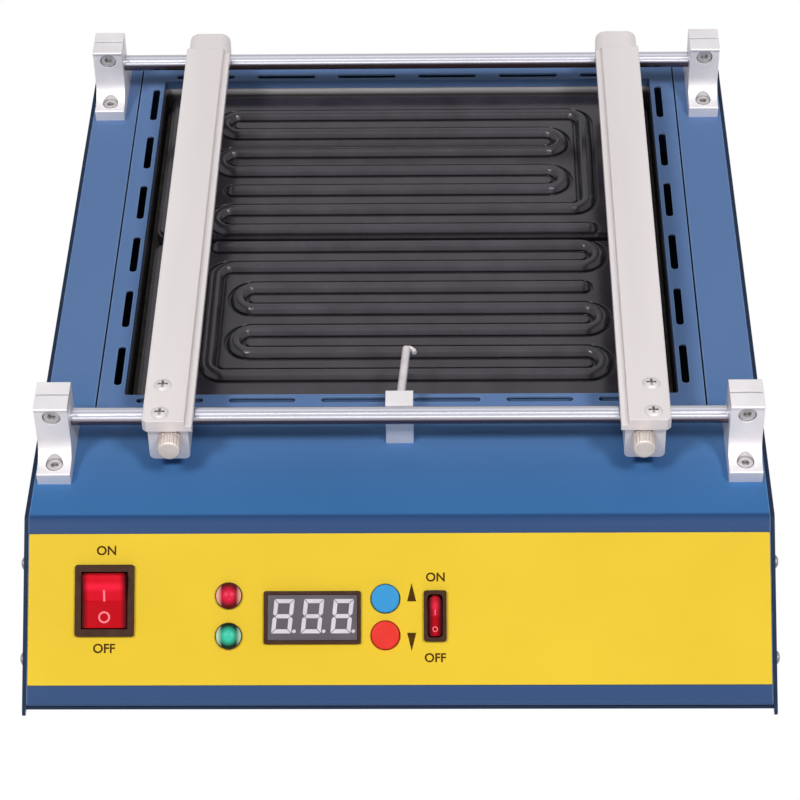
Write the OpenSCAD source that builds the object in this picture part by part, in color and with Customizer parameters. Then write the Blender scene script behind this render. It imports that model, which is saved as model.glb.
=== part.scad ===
// Board preheater: sheet-metal case, two ceramic heater plates, and two clamp bars that slide on round rails.
// +X is right, the sloped panel faces -Y, +Z is up. The origin is on the bench, under the middle of the case.

/* [Case] */
// Width over the two side cheeks
body_w = 330; // [322:1:345]
// Depth of the flat top, from the front fold to the rear wall
top_d = 345; // [343:1:360]
// Height of the case, from its underside to the flat top
body_h = 59; // [57:1:66]
// Slope of the control panel from the horizontal
panel_slope = 42; // [40:1:46]
// Thickness of the tray and cover sheet
sheet_t = 1.5; // [1.2:0.1:1.8]
// Outer radius of the cover's bends
bend_r = 3; // [2.5:0.1:4]
// Outer radius of the tight bend along the panel's foot
hem_r = 2; // [1.9:0.1:2.4]
// Gap between the cover and the cheeks
seam = 0.3; // [0.2:0.05:0.5]
// Width of the cover's inner side flanges
flange_w = 12; // [10:0.5:14]
// Height of the rubber feet
foot_h = 10; // [8:0.5:14]
// Diameter of the rubber feet
foot_d = 18; // [16:0.5:22]
// Foot centres, in from the cheeks and the ends
foot_inset = 28; // [24:1:34]

/* [Heater] */
// Deck left on each side of the slotted frame
side_margin = 25; // [24.5:0.5:27]
// Deck left in front of the slotted frame
frame_y = 69; // [68:0.5:69.5]
// Deck left behind the slotted frame
rear_margin = 2; // [1.5:0.25:3]
// Width of the frame's flat rim
rim_w = 12; // [11.5:0.25:12.5]
// Open seam between the frame and the cover
frame_seam = 0.8; // [0.5:0.1:1]
// Thickness of the frame sheet
frame_t = 1.2; // [1:0.1:1.5]
// Height of the frame's down-turned wall below the cover
frame_wall = 5; // [3.5:0.25:5.5]
// Length of the side slots
side_slot = 28; // [24:0.5:32]
// Length of the front and rear slots
end_slot = 31; // [26:0.5:34]
// Width of the slots
slot_w = 3.7; // [3:0.1:4]
// Gap between the plates and the sides of the opening
plate_air = 4; // [3:0.25:5]
// Gap between the plates and the ends of the opening
plate_end = 2; // [1.75:0.25:3]
// Thickness of a heater plate below its ridges
plate_t = 7; // [6:0.5:8]
// Gap between the two plates
plate_gap = 4; // [3:0.25:5]
// Height of the ridges
ridge_h = 2.5; // [2:0.1:3]
// Width of the ridges
ridge_w = 7.3; // [6.8:0.1:7.8]
// Width of the grooves along the ridges
groove_w = 1.6; // [1.4:0.1:1.7]
// Depth of the grooves along the ridges
groove_d = 1.2; // [0.8:0.1:1.4]
// Depth of the ridge tops below the cover
ridge_drop = 6; // [5:0.25:7]
// Height of the spacers under the plates
spacer_h = 9.5; // [8:0.25:11]
// Thickness of the insulation board
insulation_t = 6; // [4:0.25:7]
// Thickness of the reflector pan
pan_t = 0.8; // [0.6:0.1:1]

/* [Rails] */
// Diameter of the rails
rail_d = 8; // [7:0.5:9]
// Height of the rails above the cover
rail_z = 21; // [20.5:0.25:22]
// Distance from the front fold to the front rail
rail_y = 43; // [42:0.5:44]
// Distance from the rear rail to the frame's rear edge
rail_inset = 25; // [24:0.5:27]
// Height of the shaft supports
support_h = 34; // [33:0.5:37]
// Length of a support's foot
support_l = 44; // [42:0.5:44]
// Thickness of a support
support_t = 15; // [13:0.5:16]
// Thickness of a support's foot
support_foot = 6; // [5:0.25:7]
// Width of a support's neck
neck_w = 18; // [17:0.5:19]
// Support centres, in from the cheeks
support_inset = 11; // [10:0.5:14]
// Radial running clearance of sliding and turning fits
run_gap = 0.05; // [0.02:0.01:0.08]

/* [Clamp bars] */
// Place of the left bar, in from the frame's edge
bar_left_in = 38; // [16:1:90]
// Place of the right bar, in from the frame's edge
bar_right_in = 31; // [16:1:90]
// Width of a bar
bar_w = 22; // [20:0.5:24]
// Thickness of a bar
bar_t = 6; // [5:0.25:8]
// Width of the board ledge
ledge_w = 3; // [2.5:0.25:5]
// Depth of the board ledge
ledge_h = 3; // [2:0.25:3.5]
// Reach of a bar in front of the front rail
bar_nose = 17; // [16:0.5:19]
// Width of a slider block
slider_w = 18; // [17:0.5:20]
// Length of a slider block along the bar
slider_l = 29; // [28:0.5:32]
// Gap between a slider and the cover
slider_lift = 8.6; // [7:0.2:10]
// Wall of a slider above the rail
slider_roof = 2; // [1.5:0.1:3]
// Diameter of the thumb screw's knob
knob_d = 10.5; // [10:0.25:12]
// Length of the thumb screw's knob
knob_l = 8.5; // [7:0.25:10]

/* [Panel] */
// Thickness of the printed overlay
overlay_t = 0.5; // [0.3:0.1:0.8]
// Distance from the fold to the overlay
overlay_top = 7.5; // [6:0.25:9]
// Height of the overlay along the slope
overlay_h = 66.3; // [62:0.5:68]
// Width of the power switch bezel
power_w = 26; // [25:0.25:27]
// Height of the power switch bezel
power_h = 31.5; // [30:0.25:33]
// Width of the heater switch bezel
heat_w = 10; // [9.75:0.25:11]
// Height of the heater switch bezel
heat_h = 22.4; // [21:0.2:24]
// Tilt of a rocker from one side to the other
rocker_swing = 18; // [14:1:20]
// Diameter of the pilot lamps
lamp_d = 11.8; // [11:0.2:13]
// Width of the display bezel
display_w = 42.6; // [41:0.2:44]
// Height of the display bezel
display_h = 23.2; // [22:0.2:25]
// Diameter of the push buttons
button_d = 12.4; // [11.6:0.2:13]
// Travel of the push buttons
button_travel = 1.2; // [0.8:0.1:1.4]

/* [Rear] */
// Width of the mains inlet's flange
inlet_w = 50; // [48:0.5:54]
// Height of the mains inlet's flange
inlet_h = 24; // [23:0.25:25]
// Thickness of the mains inlet's flange
inlet_flange = 2.5; // [2:0.25:3]
// Place of the mains inlet, in from the left cheek
inlet_in = 60; // [50:1:70]

/* [Hidden] */
$fn = 48;

case_blue = [0.24, 0.40, 0.64];
panel_yellow = [0.97, 0.82, 0.22];
ceramic_black = [0.16, 0.15, 0.16];
aluminium = [0.86, 0.85, 0.85];
steel = [0.75, 0.76, 0.78];
black = [0.08, 0.08, 0.09];
switch_red = [0.84, 0.08, 0.15];
board_green = [0.10, 0.36, 0.20];
ceramic_white = [0.90, 0.88, 0.82];

// Places of the case
cut = 1;
z_base = foot_h;
z_floor = z_base + sheet_t;
z_top = z_base + body_h;
panel_len = (body_h - sheet_t) / sin(panel_slope);
front_run = (body_h - sheet_t) / tan(panel_slope);
y_fold = (front_run - top_d - inlet_flange) / 2;
y_front = y_fold - front_run;
y_rear = y_fold + top_d;
cover_w = body_w - 2 * (sheet_t + seam);
lip_l = 14;
hem_set_back = hem_r / sin(panel_slope / 2) - hem_r;
rear_tab_w = 30;
rear_tab_h = 16;
rear_tab_x = 40;

// Places of the heater, measured from the fold and the cover
frame_w = body_w - 2 * side_margin;
frame_d = top_d - frame_y - rear_margin;
opening_w = frame_w - 2 * rim_w;
opening_d = frame_d - 2 * rim_w;
heater_y = frame_y + frame_d / 2;
plate_w = opening_w - 2 * plate_air;
plate_d = (opening_d - plate_gap) / 2 - plate_end;
ridge_pitch = plate_d * 0.133;
pan_w = opening_w + 2 * frame_t;
pan_d = opening_d + 2 * frame_t;
z_plate = z_top - ridge_drop - ridge_h - plate_t;
z_pan = z_plate - spacer_h - pan_t;
gap_y = heater_y + 0.75 * plate_end;
bush_d = 12;
bush_gap = 0.4;
spacer_d = 10;
frame_r = 2;
post_d = 8;

// Places of the bars, measured from the fold and the cover
bar_z = rail_z + rail_d / 2 + run_gap + slider_roof;
bar_y0 = rail_y - bar_nose;
rear_y = frame_y + frame_d - rail_inset;
bar_left_x = bar_left_in - frame_w / 2;
bar_right_x = frame_w / 2 - bar_right_in;
rear_step = 4.7;
slider_y0 = rail_y - slider_l / 2;
rear_slider_l = 22;
rear_slider_back = 9;
tip_gap = 0.3;
support_x = body_w / 2 - support_inset;

// Fasteners: shank and head radii
m3_r = 1.5;
m3_head = 2.8;
m4_r = 2;
m4_head = 3.5;
m5_r = 2.5;
m5_head = 4.25;
hole_gap = 0.05;

// Rounding of outlines
function unit(p) = p / norm(p);
function bend(a, b, c, r) =
    let (n = r > 6 ? 12 : 5, u = unit(a - b), v = unit(c - b), half = acos(u * v) / 2)
    let (centre = b + unit(u + v) * r / sin(half))
    let (p = b + u * r / tan(half) - centre, q = b + v * r / tan(half) - centre)
    let (start = atan2(p[1], p[0]), turn = atan2(p[0] * q[1] - p[1] * q[0], p * q))
    [for (i = [0:n]) centre + r * [cos(start + turn * i / n), sin(start + turn * i / n)]];
function rounded(p, r) =
    let (n = len(p))
    [for (i = [0:n - 1]) each r[i] > 0 ? bend(p[(i + n - 1) % n], p[i], p[(i + 1) % n], r[i]) : [p[i]]];
function rect(w, h) = [[-w / 2, -h / 2], [w / 2, -h / 2], [w / 2, h / 2], [-w / 2, h / 2]];

module plate2d(w, h, r) polygon(rounded(rect(w, h), [r, r, r, r]));
module ring2d(w, h, r, wall) {
    difference() {
        plate2d(w, h, r);
        plate2d(w - 2 * wall, h - 2 * wall, r - wall / 2);
    }
}
module slot2d(l, w) {
    square([l - w, w], center = true);
    for (s = [-1, 1]) translate([s * (l - w) / 2, 0]) circle(w / 2);
}

// Extrusion of a (Y, Z) outline across the case, and of an (X, Z) outline from front to back
module along_x(w) rotate([90, 0, 90]) translate([0, 0, -w / 2]) linear_extrude(w) children();
module along_y(l) rotate([90, 0, 0]) translate([0, 0, -l]) linear_extrude(l) children();

// Frames of reference: the flat top, the sloped panel (u across, d down from the fold), and a clamp bar
module on_deck(x, y) translate([x, y_fold + y, z_top]) children();
module on_panel(u, d) translate([u, y_fold, z_top]) rotate([panel_slope, 0, 0]) translate([0, -d, 0]) children();
module on_bar(side) {
    translate([side < 0 ? bar_left_x : bar_right_x, y_fold, z_top]) mirror([side < 0 ? 0 : 1, 0, 0]) children();
}

// Screws pointing down: pan heads standing on z = 0, flush and raised heads sunk to z = 0, and socket heads
module cross_cut(head, top) {
    for (a = [0, 90]) rotate(a) translate([-head * 0.55, -head * 0.14, top - head * 0.4])
        cube([head * 1.1, head * 0.28, head]);
}
module pan_screw(r, head, l) {
    difference() {
        rotate_extrude() polygon([[0, -l], [r, -l], [r, 0], [head, 0], [head, head * 0.4], [head * 0.6, head * 0.65],
            [0, head * 0.7]]);
        cross_cut(head, head * 0.7);
    }
}
module flush_body(r, head, l) rotate_extrude() polygon([[0, -l], [r, -l], [r, r - head], [head, 0], [0, 0]]);
module flush_screw(r, head, l) {
    difference() {
        flush_body(r, head, l);
        cross_cut(head, 0);
    }
}
module raised_screw(r, head, l) {
    top = head * 0.22;
    difference() {
        rotate_extrude() polygon([[0, -l], [r, -l], [r, r - head], [head, 0], [head * 0.72, top * 0.7],
            [head * 0.4, top * 0.95], [0, top]]);
        cross_cut(head, top);
    }
}
module cap_screw(r, head, l, tall) {
    difference() {
        union() {
            cylinder(r = head, h = tall);
            translate([0, 0, -l]) cylinder(r = r, h = l + cut);
        }
        translate([0, 0, tall * 0.4]) cylinder(r = head * 0.55, h = tall, $fn = 6);
    }
}

// Side outline of the case at a depth under its outer skin
function skin_fold(t) = [y_fold + t * tan(panel_slope / 2), z_top - t];
function skin_front(t, z) = [y_fold + (t - (z_top - z) * cos(panel_slope)) / sin(panel_slope), z];
function skin_rear(t) = [y_rear - t, z_top - t];

case_screw_in = 7;
case_screw_d = [20, 62];
rear_screw_h = [14, 42];
module case_screw_places() {
    for (s = [-1, 1]) {
        for (d = case_screw_d)
            on_panel(s * body_w / 2, d) translate([0, 0, -case_screw_in]) rotate([0, s * 90, 0]) children();
        for (h = rear_screw_h)
            translate([s * body_w / 2, y_rear - sheet_t - flange_w / 2, z_base + h]) rotate([0, s * 90, 0]) children();
        translate([s * rear_tab_x, y_rear, z_floor + rear_tab_h / 2]) rotate([-90, 0, 0]) children();
    }
}
module foot_places() {
    for (x = [-1, 1], y = [y_front + front_run / 2, y_rear - foot_inset])
        translate([x * (body_w / 2 - foot_inset), y, 0]) children();
}

// U-shaped tray: the floor, two cheeks and two rear tabs
module base_tray() {
    cheek = rounded([[y_front, z_base], [y_front, z_floor], [y_fold, z_top], [y_rear, z_top], [y_rear, z_base]],
        [0, 0, bend_r, bend_r, 0]);
    y_edge = y_front + hem_set_back;
    vent_l = 46;
    vent_w = 5;
    vent_pitch = 14;
    color(case_blue) difference() {
        union() {
            translate([-body_w / 2, y_edge, z_base]) cube([body_w, y_rear - y_edge, sheet_t]);
            for (s = [-1, 1]) translate([s * (body_w - sheet_t) / 2, 0, 0]) along_x(sheet_t) polygon(cheek);
            for (s = [-1, 1])
                translate([s * rear_tab_x - rear_tab_w / 2, y_rear - 2 * sheet_t - seam, z_base])
                    cube([rear_tab_w, sheet_t, rear_tab_h + sheet_t]);
        }
        case_screw_places() cylinder(r = m3_r + hole_gap, h = 20, center = true);
        foot_places() cylinder(r = m3_r + hole_gap, h = z_top);
        for (s = [-1, 1], i = [-3:3])
            translate([s * body_w / 5, y_fold + heater_y + i * vent_pitch, z_base - cut])
                linear_extrude(sheet_t + 2 * cut) slot2d(vent_l, vent_w);
    }
}

// Cut-outs of the control panel, shared by the cover and the overlay
power_in = 36;
power_at = [power_in - body_w / 2, 36.8];
heat_at = [16, 43.8];
lamp_at = [[-74.5, 34.8], [-74.5, 52.4]];
display_at = [-37.8, 44.4];
button_at = [[-5.8, 36.2], [-5.8, 52.2]];
wall_gap = 0.35;
switch_lip = 1.8;
lamp_neck = 8;
window_w = display_w - 3;
window_h = display_h - 3;
display_lip = 0.7;
module panel_cuts(grow) {
    depth = 3 * (sheet_t + overlay_t);
    for (s = [[power_at, power_w, power_h], [heat_at, heat_w, heat_h]])
        on_panel(s[0][0], s[0][1])
            cube([s[1] - 2 * switch_lip / 2 + 2 * grow, s[2] - 2 * switch_lip + 2 * grow, depth], center = true);
    for (p = lamp_at) on_panel(p[0], p[1]) cylinder(d = lamp_neck + 2 * grow, h = depth, center = true);
    on_panel(display_at[0], display_at[1])
        cube([window_w + 2 * display_lip + 2 * grow, window_h + 2 * display_lip + 2 * grow, depth], center = true);
    for (p = button_at) on_panel(p[0], p[1]) cylinder(d = button_d + 2 * grow, h = depth, center = true);
}

// Folded cover: flat top, sloped panel, rear wall, foot lip and inner side flanges
support_foot_y = (support_l + neck_w) / 4;
module support_places() {
    for (x = [-1, 1], y = [rail_y, rear_y]) on_deck(x * support_x, y) children();
}
sensor_w = 12.4;
sensor_l = 10;
sensor_h = 23;
sensor_y = rail_y + rail_d / 2 + tip_gap;
lead_d = 4;
inlet_x = inlet_in - body_w / 2;
inlet_z = z_floor + inlet_h / 2 + 1;
inlet_body_w = 28;
inlet_body_h = 20;
inlet_depth = 24;
inlet_screw_x = 20;
module top_cover() {
    outer = [[y_front + lip_l, z_floor], [y_front, z_floor], [y_fold, z_top], [y_rear, z_top], [y_rear, z_floor]];
    inner = [[y_rear - sheet_t, z_floor], skin_rear(sheet_t), skin_fold(sheet_t), skin_front(sheet_t, z_floor + sheet_t),
        [y_front + lip_l, z_floor + sheet_t]];
    shell = rounded(concat(outer, inner), [0, hem_r, bend_r, bend_r, 0, 0, bend_r - sheet_t, bend_r - sheet_t,
        hem_r - sheet_t, 0]);
    z_flange = z_floor + 2 * sheet_t;
    deep = sheet_t + flange_w;
    flange = [skin_front(sheet_t, z_flange), skin_fold(sheet_t), skin_rear(sheet_t), [y_rear - sheet_t, z_flange],
        [y_rear - deep, z_flange], skin_rear(deep), skin_fold(deep), skin_front(deep, z_flange)];
    vent_h = 24;
    vent_w = 3;
    vent_pitch = 8;
    color(case_blue) difference() {
        union() {
            along_x(cover_w) polygon(shell);
            for (s = [-1, 1]) translate([s * (cover_w - sheet_t) / 2, 0, 0]) along_x(sheet_t) polygon(flange);
        }
        on_deck(0, heater_y + (seam - frame_seam) / 2) translate([0, 0, -sheet_t - cut])
            linear_extrude(sheet_t + 2 * cut)
                plate2d(frame_w + 2 * frame_seam, frame_d + frame_seam + seam, frame_r + frame_seam);
        panel_cuts(wall_gap);
        case_screw_places() cylinder(r = m3_r + hole_gap, h = 20, center = true);
        support_places() for (s = [-1, 1])
            translate([0, s * support_foot_y, 0]) cylinder(r = m4_r + hole_gap, h = 4 * sheet_t, center = true);
        on_deck(0, sensor_y + sensor_l / 2) cylinder(d = lead_d, h = 4 * sheet_t, center = true);
        translate([inlet_x, y_rear, inlet_z])
            cube([inlet_body_w + 2 * wall_gap, 4 * sheet_t, inlet_body_h + 2 * wall_gap], center = true);
        for (s = [-1, 1]) translate([inlet_x + s * inlet_screw_x, y_rear, inlet_z]) rotate([90, 0, 0])
            cylinder(r = m3_r + hole_gap, h = 4 * sheet_t, center = true);
        for (i = [-4:4])
            translate([body_w / 4 + i * vent_pitch, y_rear - 2 * sheet_t, z_base + body_h / 2]) rotate([0, 90, 0])
                along_y(4 * sheet_t) slot2d(vent_h, vent_w);
    }
}

// Printed sheet on the sloped panel
module panel_overlay() {
    color(panel_yellow) difference() {
        on_panel(0, overlay_top + overlay_h / 2) linear_extrude(overlay_t)
            plate2d(cover_w - 1, overlay_h, 0.5);
        panel_cuts(wall_gap);
    }
}

// Rubber feet with a recess for the screw head
foot_recess = 5;
module rubber_feet() {
    color(black) foot_places() rotate_extrude() polygon([[foot_recess, 0], [foot_d / 2 - 1, 0], [foot_d / 2, foot_h],
        [m3_r + hole_gap, foot_h], [m3_r + hole_gap, foot_h / 2], [foot_recess, foot_h / 2]]);
}
module foot_screws() {
    color(steel) foot_places() translate([0, 0, foot_h / 2]) mirror([0, 0, 1])
        pan_screw(m3_r, m3_head, foot_h / 2 + 3 * sheet_t);
}
module case_screws() color(steel) case_screw_places() pan_screw(m3_r, m3_head, 3 * sheet_t + seam);

// Slotted frame flush with the cover; it turns down into the heater opening and stands on the pan's wall
slots_per_side = 6;
module frame_slots() {
    inset = rim_w - 3.8;
    for (i = [0:slots_per_side - 1], s = [-1, 1]) {
        step = i - (slots_per_side - 1) / 2;
        translate([s * (frame_w / 2 - inset), step * opening_d / slots_per_side]) rotate(90) slot2d(side_slot, slot_w);
        translate([step * opening_w / slots_per_side, s * (frame_d / 2 - inset)]) slot2d(end_slot, slot_w);
    }
}
module heater_frame() {
    color(case_blue) on_deck(0, heater_y) {
        translate([0, 0, -frame_t]) linear_extrude(frame_t) difference() {
            ring2d(frame_w, frame_d, frame_r, rim_w);
            frame_slots();
        }
        translate([0, 0, -frame_wall]) linear_extrude(frame_wall) ring2d(pan_w, pan_d, frame_r, frame_t);
    }
}

// Bright pan under the plates, on four posts that stand on the tray
bush_x = plate_w / 2 - 15;
bush_y = 18;
spacer_x = plate_w / 2 - 40;
spacer_y = [24, plate_d - 20];
post_x = opening_w / 4;
post_y = opening_d * 0.36;
module plate_places() {
    for (s = [-1, 1]) on_deck(0, gap_y) rotate(s > 0 ? 0 : 180) translate([0, plate_gap / 2, 0]) children();
}
module bush_places() plate_places() for (x = [-1, 1]) translate([x * bush_x, bush_y, 0]) children();
module spacer_places() plate_places() for (x = [-1, 1], y = spacer_y) translate([x * spacer_x, y, 0]) children();
module post_places() for (x = [-1, 1], y = [-1, 1]) on_deck(x * post_x, heater_y + y * post_y) children();
module reflector_pan() {
    wall_h = z_top - frame_wall - z_pan;
    color(steel) difference() {
        on_deck(0, heater_y) translate([0, 0, z_pan - z_top]) {
            linear_extrude(pan_t) plate2d(pan_w, pan_d, 2);
            linear_extrude(wall_h) ring2d(pan_w, pan_d, 2, pan_t);
        }
        bush_places() translate([0, 0, -z_top]) cylinder(d = bush_d + 2 * bush_gap, h = z_top);
        on_deck(0, gap_y) translate([0, 0, -z_top]) cylinder(r = m4_r + hole_gap, h = z_top);
    }
}
module pan_posts() {
    color(steel) post_places() translate([0, 0, z_floor - z_top]) cylinder(d = post_d, h = z_pan - z_floor, $fn = 6);
}
module insulation_board() {
    margin = 1;
    color(ceramic_white) difference() {
        on_deck(0, heater_y) translate([0, 0, z_pan + pan_t - z_top]) linear_extrude(insulation_t)
            plate2d(pan_w - 2 * pan_t - 2 * margin, pan_d - 2 * pan_t - 2 * margin, 3);
        bush_places() translate([0, 0, -z_top]) cylinder(d = bush_d + 2 * bush_gap, h = z_top);
        spacer_places() translate([0, 0, -z_top]) cylinder(d = spacer_d + 2 * bush_gap, h = z_top);
        on_deck(0, gap_y) translate([0, 0, -z_top]) cylinder(r = m5_head + bush_gap, h = z_top);
    }
}
module plate_spacers() {
    color(ceramic_white) spacer_places() translate([0, 0, z_pan + pan_t - z_top]) difference() {
        cylinder(d = spacer_d, h = spacer_h);
        translate([0, 0, -cut]) cylinder(r = m4_r, h = spacer_h + 2 * cut);
    }
}
module lead_bushes() {
    below = 6;
    color(ceramic_white) bush_places() translate([0, 0, z_pan - below - z_top]) difference() {
        cylinder(d = bush_d, h = z_plate - z_pan + below);
        translate([0, 0, -cut]) cylinder(r = m4_r, h = spacer_h);
    }
}
// Stud sensor in the pan's floor, its tip just under the gap between the plates
module plate_sensor() {
    tip = z_plate - z_pan - pan_t;
    color(steel) on_deck(0, gap_y) translate([0, 0, z_pan + pan_t - z_top]) {
        cylinder(r = m5_head, h = insulation_t * 0.6, $fn = 6);
        cylinder(r = m4_r - 0.6, h = tip);
        translate([0, 0, -10]) cylinder(r = m4_r, h = 10 + cut);
    }
}

// Ceramic plate with one serpentine ridge between two grooves; its inner edge is y = 0, its outer y = plate_d
ridge_y0 = 4.8;
turn_r = ridge_pitch / 2;
left_turn_x = -plate_w * 0.351;
right_turn_x = plate_w * 0.29;
riser_x = plate_w * 0.371;
elbow_r = 8;
function ridge_y(i) = ridge_y0 + (i - 1) * ridge_pitch;
module ridge_profile() {
    sink = groove_d + 0.5;
    lean = 2;
    polygon(rounded([[-ridge_w / 2, -sink], [ridge_w / 2, -sink], [ridge_w / 2, 0], [ridge_w / 2 - lean, ridge_h],
        [lean - ridge_w / 2, ridge_h], [-ridge_w / 2, 0]], [0, 0, 0, 2, 2, 0]));
}
module groove_profile() translate([-ridge_w / 2 - groove_w, -groove_d]) square([ridge_w + 2 * groove_w, groove_d + cut]);
module ridge_run(x0, x1, i) translate([(x0 + x1) / 2, ridge_y(i), 0]) along_x(x1 - x0) children();
module ridge_arc(x, y, r, start, angle) {
    translate([x, y, 0]) rotate(start) rotate_extrude(angle = angle) translate([r, 0]) children();
}
module ridge_turn(side, i) {
    ridge_arc(side < 0 ? left_turn_x : right_turn_x, ridge_y(i) + turn_r, turn_r, side < 0 ? 90 : -90, 180) children();
}
module ridge_end(x, i) {
    translate([x, ridge_y(i), 0]) rotate_extrude() intersection() {
        children();
        translate([0, -ridge_h]) square([ridge_w, 3 * ridge_h]);
    }
}
module ridge_path() {
    elbow_x = riser_x - elbow_r;
    ridge_run(left_turn_x, riser_x, 1) children();
    ridge_run(left_turn_x, elbow_x, 2) children();
    for (i = [3:6]) ridge_run(left_turn_x, right_turn_x, i) children();
    ridge_run(left_turn_x, elbow_x, 7) children();
    for (i = [1, 4, 6]) ridge_turn(-1, i) children();
    for (i = [3, 5]) ridge_turn(1, i) children();
    ridge_arc(elbow_x, ridge_y(2) + elbow_r, elbow_r, -90, 90) children();
    ridge_arc(elbow_x, ridge_y(7) - elbow_r, elbow_r, 0, 90) children();
    translate([riser_x, (ridge_y(2) + ridge_y(7)) / 2, 0]) rotate(90)
        along_x(ridge_y(7) - ridge_y(2) - 2 * elbow_r) children();
    ridge_end(riser_x, 1) children();
    ridge_end(left_turn_x, 3) children();
}
module heater_plate() {
    step = 1.5;
    corner_r = 7;
    difference() {
        translate([0, plate_d / 2, -plate_t]) {
            linear_extrude(plate_t - step) plate2d(plate_w, plate_d, corner_r);
            linear_extrude(plate_t) plate2d(plate_w - 2 * step, plate_d - 2 * step, corner_r - step);
        }
        ridge_path() groove_profile();
    }
    intersection() {
        ridge_path() ridge_profile();
        translate([0, plate_d / 2, -plate_t]) linear_extrude(2 * plate_t)
            plate2d(plate_w - 2 * step, plate_d - 2 * step, corner_r - step);
    }
}
module heater_plate_rear() {
    color(ceramic_black) on_deck(0, gap_y) translate([0, plate_gap / 2, -ridge_drop - ridge_h]) heater_plate();
}
module heater_plate_front() {
    color(ceramic_black) on_deck(0, gap_y) rotate(180) translate([0, plate_gap / 2, -ridge_drop - ridge_h])
        heater_plate();
}

// Round rails through the split heads of the supports
module rail(y) {
    bevel = 0.6;
    rail_l = 2 * support_x + support_t;
    color(steel) on_deck(-rail_l / 2, y) translate([0, 0, rail_z]) rotate([0, 90, 0]) rotate_extrude()
        polygon([[0, 0], [rail_d / 2 - bevel, 0], [rail_d / 2, bevel], [rail_d / 2, rail_l - bevel],
            [rail_d / 2 - bevel, rail_l], [0, rail_l]]);
}
module front_rail() rail(rail_y);
module rear_rail() rail(rear_y);

// Shaft support: foot with concave flanks, neck, split head, counterbored clamp screw
clamp_z = rail_z + rail_d / 2 + 3.2;
clamp_head = 3.7;
head_lip = 1;
slit_w = 0.9;
bore_deep = 4.2;
foot_sunk = 3;
module shaft_support() {
    flank_r = 10;
    half = neck_w / 2;
    back = [[support_l / 2, 0], [support_l / 2, support_foot], [half, support_foot], [half, support_h]];
    front = [[-half - head_lip, support_h], [-half - head_lip, support_h - head_lip],
        [-half, support_h - 1.8 * head_lip], [-half, support_foot], [-support_l / 2, support_foot],
        [-support_l / 2, 0]];
    radii = [0, 0.6, flank_r, 0.8, 0.6, 0, 0, flank_r, 0.6, 0];
    difference() {
        along_x(support_t) polygon(rounded(concat(back, front), radii));
        translate([0, 0, rail_z]) rotate([0, 90, 0]) cylinder(d = rail_d + 2 * run_gap, h = 2 * support_t, center = true);
        translate([-support_t, -slit_w / 2, rail_z]) cube([2 * support_t, slit_w, support_h]);
        translate([0, 0, clamp_z]) rotate([90, 0, 0]) {
            cylinder(r = m4_r + hole_gap, h = support_l, center = true);
            translate([0, 0, half - bore_deep]) cylinder(r = clamp_head + wall_gap, h = support_l);
        }
        for (s = [-1, 1]) translate([0, s * support_foot_y, -cut])
            cylinder(r = m4_r + hole_gap, h = support_h / 2);
        for (s = [-1, 1]) translate([0, s * support_foot_y, support_foot - foot_sunk])
            cylinder(r = m4_head + wall_gap, h = support_h);
    }
}
module support_front_left() color(aluminium) on_deck(-support_x, rail_y) shaft_support();
module support_front_right() color(aluminium) on_deck(support_x, rail_y) shaft_support();
module support_rear_left() color(aluminium) on_deck(-support_x, rear_y) shaft_support();
module support_rear_right() color(aluminium) on_deck(support_x, rear_y) shaft_support();
nut_h = 4;
module support_foot_screws() {
    color(steel) support_places() for (s = [-1, 1]) translate([0, s * support_foot_y, support_foot])
        translate([0, 0, -foot_sunk])
            cap_screw(m4_r, m4_head, support_foot - foot_sunk + sheet_t + nut_h + 1, foot_sunk);
}
module support_nuts() {
    color(steel) support_places() for (s = [-1, 1])
        translate([0, s * support_foot_y, -sheet_t - nut_h]) difference() {
            cylinder(r = m5_head, h = nut_h, $fn = 6);
            translate([0, 0, -cut]) cylinder(r = m4_r + hole_gap, h = nut_h + 2 * cut);
        }
}
module support_clamp_screws() {
    color(steel) support_places() translate([0, bore_deep - neck_w / 2, clamp_z]) rotate([90, 0, 0])
        cap_screw(m4_r, clamp_head, neck_w - bore_deep - 1, 0.8 * bore_deep);
}

// Clamp bar with a board ledge on its inner side; +x is the inner side in the bar's own frame
bar_y1 = rear_y - rear_step;
screw_x = -3.3;
screw_y = [slider_y0 + 3.6, slider_y0 + slider_l - 7];
knob_x = 0.8;
bar_head = 4;
bar_bite = 3;
end_screw_z = bar_z + bar_t / 2 - 1;
end_sunk = 3;
module clamp_bar(side) {
    edge = 0.8;
    ledge_x = bar_w / 2 - ledge_w;
    section = rounded([[-bar_w / 2, bar_z], [bar_w / 2, bar_z], [bar_w / 2, bar_z + bar_t - ledge_h],
        [ledge_x, bar_z + bar_t - ledge_h], [ledge_x, bar_z + bar_t], [-bar_w / 2, bar_z + bar_t]],
        [0, 0, 0.5, 0, edge, edge]);
    color(aluminium) on_bar(side) difference() {
        translate([0, bar_y0, 0]) along_y(bar_y1 - bar_y0) polygon(section);
        for (y = screw_y) translate([screw_x, y, bar_z + bar_t])
            flush_body(m4_r + hole_gap, bar_head + hole_gap, 2 * bar_t);
        translate([screw_x, bar_y1, end_screw_z]) rotate([90, 0, 0])
            cylinder(r = m3_r + hole_gap, h = 16, center = true);
        translate([-bar_w / 2, bar_y0, bar_z]) rotate(45) cube([3 * edge, 3 * edge, 4 * bar_t], center = true);
    }
}
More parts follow.
